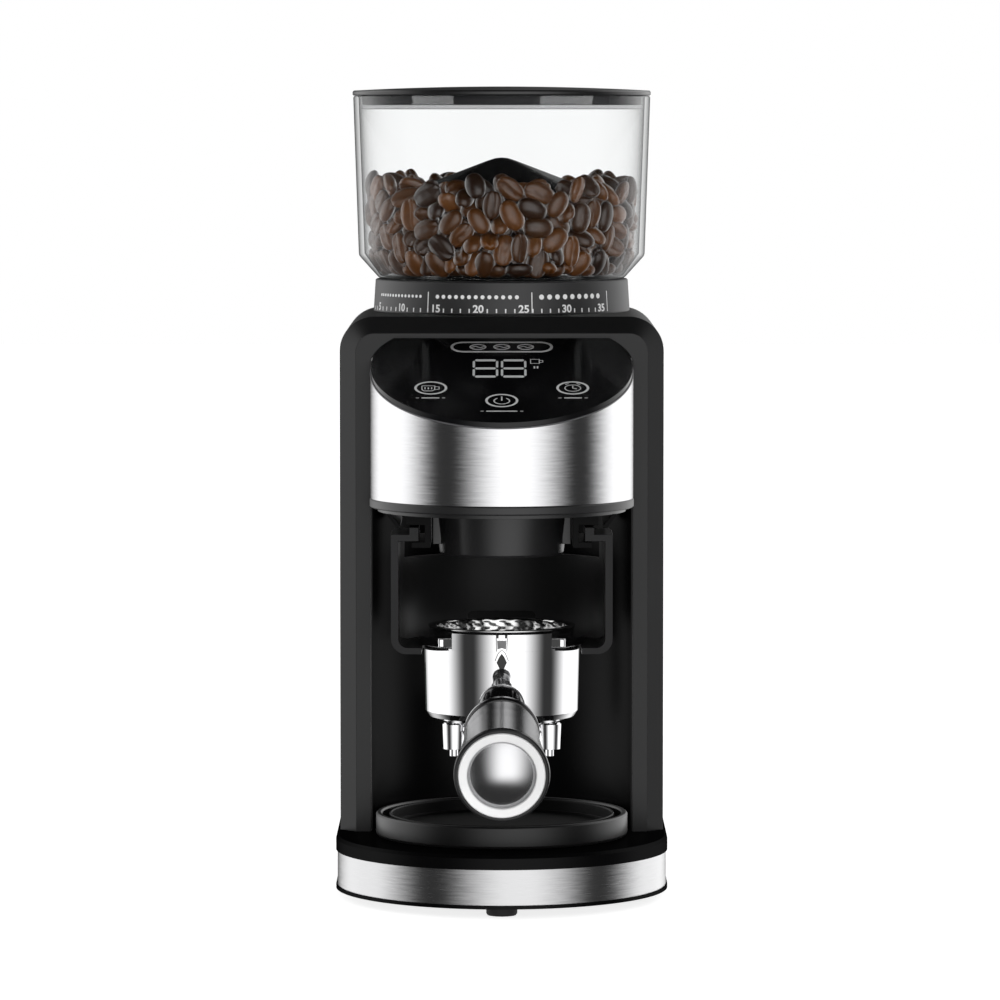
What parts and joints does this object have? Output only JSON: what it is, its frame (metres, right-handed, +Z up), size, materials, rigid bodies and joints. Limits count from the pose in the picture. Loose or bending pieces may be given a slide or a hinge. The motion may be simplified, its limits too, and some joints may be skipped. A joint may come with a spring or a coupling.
{
  "type": "burr coffee grinder",
  "caption": "Countertop conical burr coffee grinder with clear bean hopper, numbered grind ring, sloping touch panel, portafilter in a sliding cradle and removable grounds tray.",
  "frame": {"origin": "centre of the bounding box's underside, on the surface the feet stand on, directly under the axis of the dosing nozzle", "axes": "+Z up, -Y towards the user, +X to the user's right"},
  "size_m": [0.1524, 0.3002, 0.3718],
  "materials": {
    "housing_black": "semi-gloss black moulding",
    "base_black": "gloss black moulding",
    "brushed_band": "fine brushing round the band",
    "rubber_black": "matt",
    "zinc_screw": "zinc plated",
    "satin_black": "satin dark grey moulding",
    "dark_plastic": "dark satin moulding",
    "panel_black": "high gloss black",
    "bezel_grey": "bevelled bright edge",
    "board_green": "circuit board",
    "sensor_spring": "plated spring",
    "motor_steel": "drawn steel can",
    "armature": "enamelled copper and laminations",
    "gear_nylon": "natural nylon",
    "gear_steel": "ground steel",
    "bronze": "sintered bronze",
    "burr_steel": "hardened steel",
    "clear_plastic": "clear moulded plastic",
    "roast_beans": "oily roast",
    "lid_black": "semi-gloss black moulding",
    "lid_grey": "translucent grey",
    "seal_rubber": "grey silicone",
    "chrome": "polished",
    "basket_steel": "pressed stainless steel",
    "grip_black": "smooth black grip",
    "tray_black": "satin"
  },
  "bodies": {
    "housing": {"base_plate": "dark_plastic", "base_shell": "base_black", "base_steel_ring": "brushed_band", "rubber_feet": "rubber_black", "case_screws": "zinc_screw", "front_housing": "housing_black", "rear_cover": "housing_black", "cord_gland": "rubber_black", "bay_liner": "dark_plastic", "head_underplate": "dark_plastic", "head_shell": "dark_plastic", "head_steel_band": "brushed_band", "head_trim_ring": "dark_plastic", "nozzle": "dark_plastic", "cradle_rails": "satin_black", "grounds_chute": "dark_plastic", "panel_bezel": "bezel_grey", "control_panel": "panel_black", "display_module": "dark_plastic", "touch_sensors": "sensor_spring", "control_board": "board_green", "power_board": "board_green", "motor_can": "motor_steel", "drive_screws": "zinc_screw", "gearbox_base": "gear_nylon", "gearbox_cover": "gear_nylon", "idler_pin": "gear_steel", "shaft_bearings": "bronze", "burr_chamber": "dark_plastic", "interlock_switch": "dark_plastic"},
    "interlock_plunger": {"interlock_plunger": "gear_nylon"},
    "motor_rotor": {"motor_shaft": "gear_steel", "motor_armature": "armature", "motor_pinion": "gear_steel"},
    "idler": {"compound_gear": "gear_nylon"},
    "drive": {"output_gear": "gear_nylon", "burr_shaft": "gear_steel", "inner_burr": "burr_steel", "burr_nut": "zinc_screw", "grounds_sweeper": "dark_plastic"},
    "burr_carrier": {"burr_carrier": "dark_plastic", "ring_burr": "burr_steel"},
    "grind_ring": {"grind_scale_ring": "satin_black"},
    "hopper": {"hopper_bowl": "clear_plastic", "finger_guard": "dark_plastic", "coffee_beans": "roast_beans"},
    "lid": {"lid_disc": "lid_black", "lid_skirt": "lid_grey", "lid_gasket": "seal_rubber"},
    "cradle": {"portafilter_cradle": "satin_black"},
    "portafilter": {"portafilter_body": "chrome", "filter_basket": "basket_steel", "portafilter_spout": "chrome", "portafilter_neck": "chrome", "handle_ferrule": "chrome", "handle_grip": "grip_black", "handle_end_ring": "chrome", "handle_end_cap": "chrome"},
    "tray": {"tray_dish": "tray_black", "tray_mat": "tray_black"}
  },
  "joints": [
    {"name": "lid_lift", "type": "slide", "parent": "hopper", "child": "lid", "axis": [0, 0, 1], "range_m": [0, 0.05]},
    {"name": "hopper_lift", "type": "slide", "parent": "grind_ring", "child": "hopper", "axis": [0, 0, 1], "range_m": [0, 0.06]},
    {"name": "grind_adjust", "type": "hinge", "parent": "housing", "child": "grind_ring", "pos_m": [0, 0.08, 0.27], "axis": [0, 0, 1], "range_deg": [-49, 87]},
    {"name": "burr_height", "type": "slide", "parent": "housing", "child": "burr_carrier", "axis": [0, 0, 1], "range_m": [-0.0008, 0.0005]},
    {"name": "burr_spin", "type": "hinge", "parent": "housing", "child": "drive", "pos_m": [0, 0.08, 0.23], "axis": [0, 0, 1], "continuous": true},
    {"name": "idler_spin", "type": "hinge", "parent": "housing", "child": "idler", "pos_m": [0.02701, 0.09, 0.19], "axis": [0, 0, 1], "continuous": true},
    {"name": "motor_spin", "type": "hinge", "parent": "housing", "child": "motor_rotor", "pos_m": [0, 0.1, 0.15], "axis": [0, 0, 1], "continuous": true},
    {"name": "interlock_press", "type": "slide", "parent": "housing", "child": "interlock_plunger", "axis": [0, 0, -1], "range_m": [0, 0.002], "stiffness_N_per_m": 200},
    {"name": "cradle_slide", "type": "slide", "parent": "housing", "child": "cradle", "axis": [0, -1, 0], "range_m": [0, 0.09]},
    {"name": "portafilter_slide", "type": "slide", "parent": "cradle", "child": "portafilter", "axis": [0, -1, 0], "range_m": [0, 0.09]},
    {"name": "tray_slide", "type": "slide", "parent": "housing", "child": "tray", "axis": [0, -1, 0], "range_m": [0, 0.12]}
  ],
  "couplings": [
    {"joint": "burr_height", "follows": "grind_adjust", "m_per_rad": -0.0004},
    {"joint": "idler_spin", "follows": "burr_spin", "ratio": -5},
    {"joint": "motor_spin", "follows": "burr_spin", "ratio": 25}
  ]
}
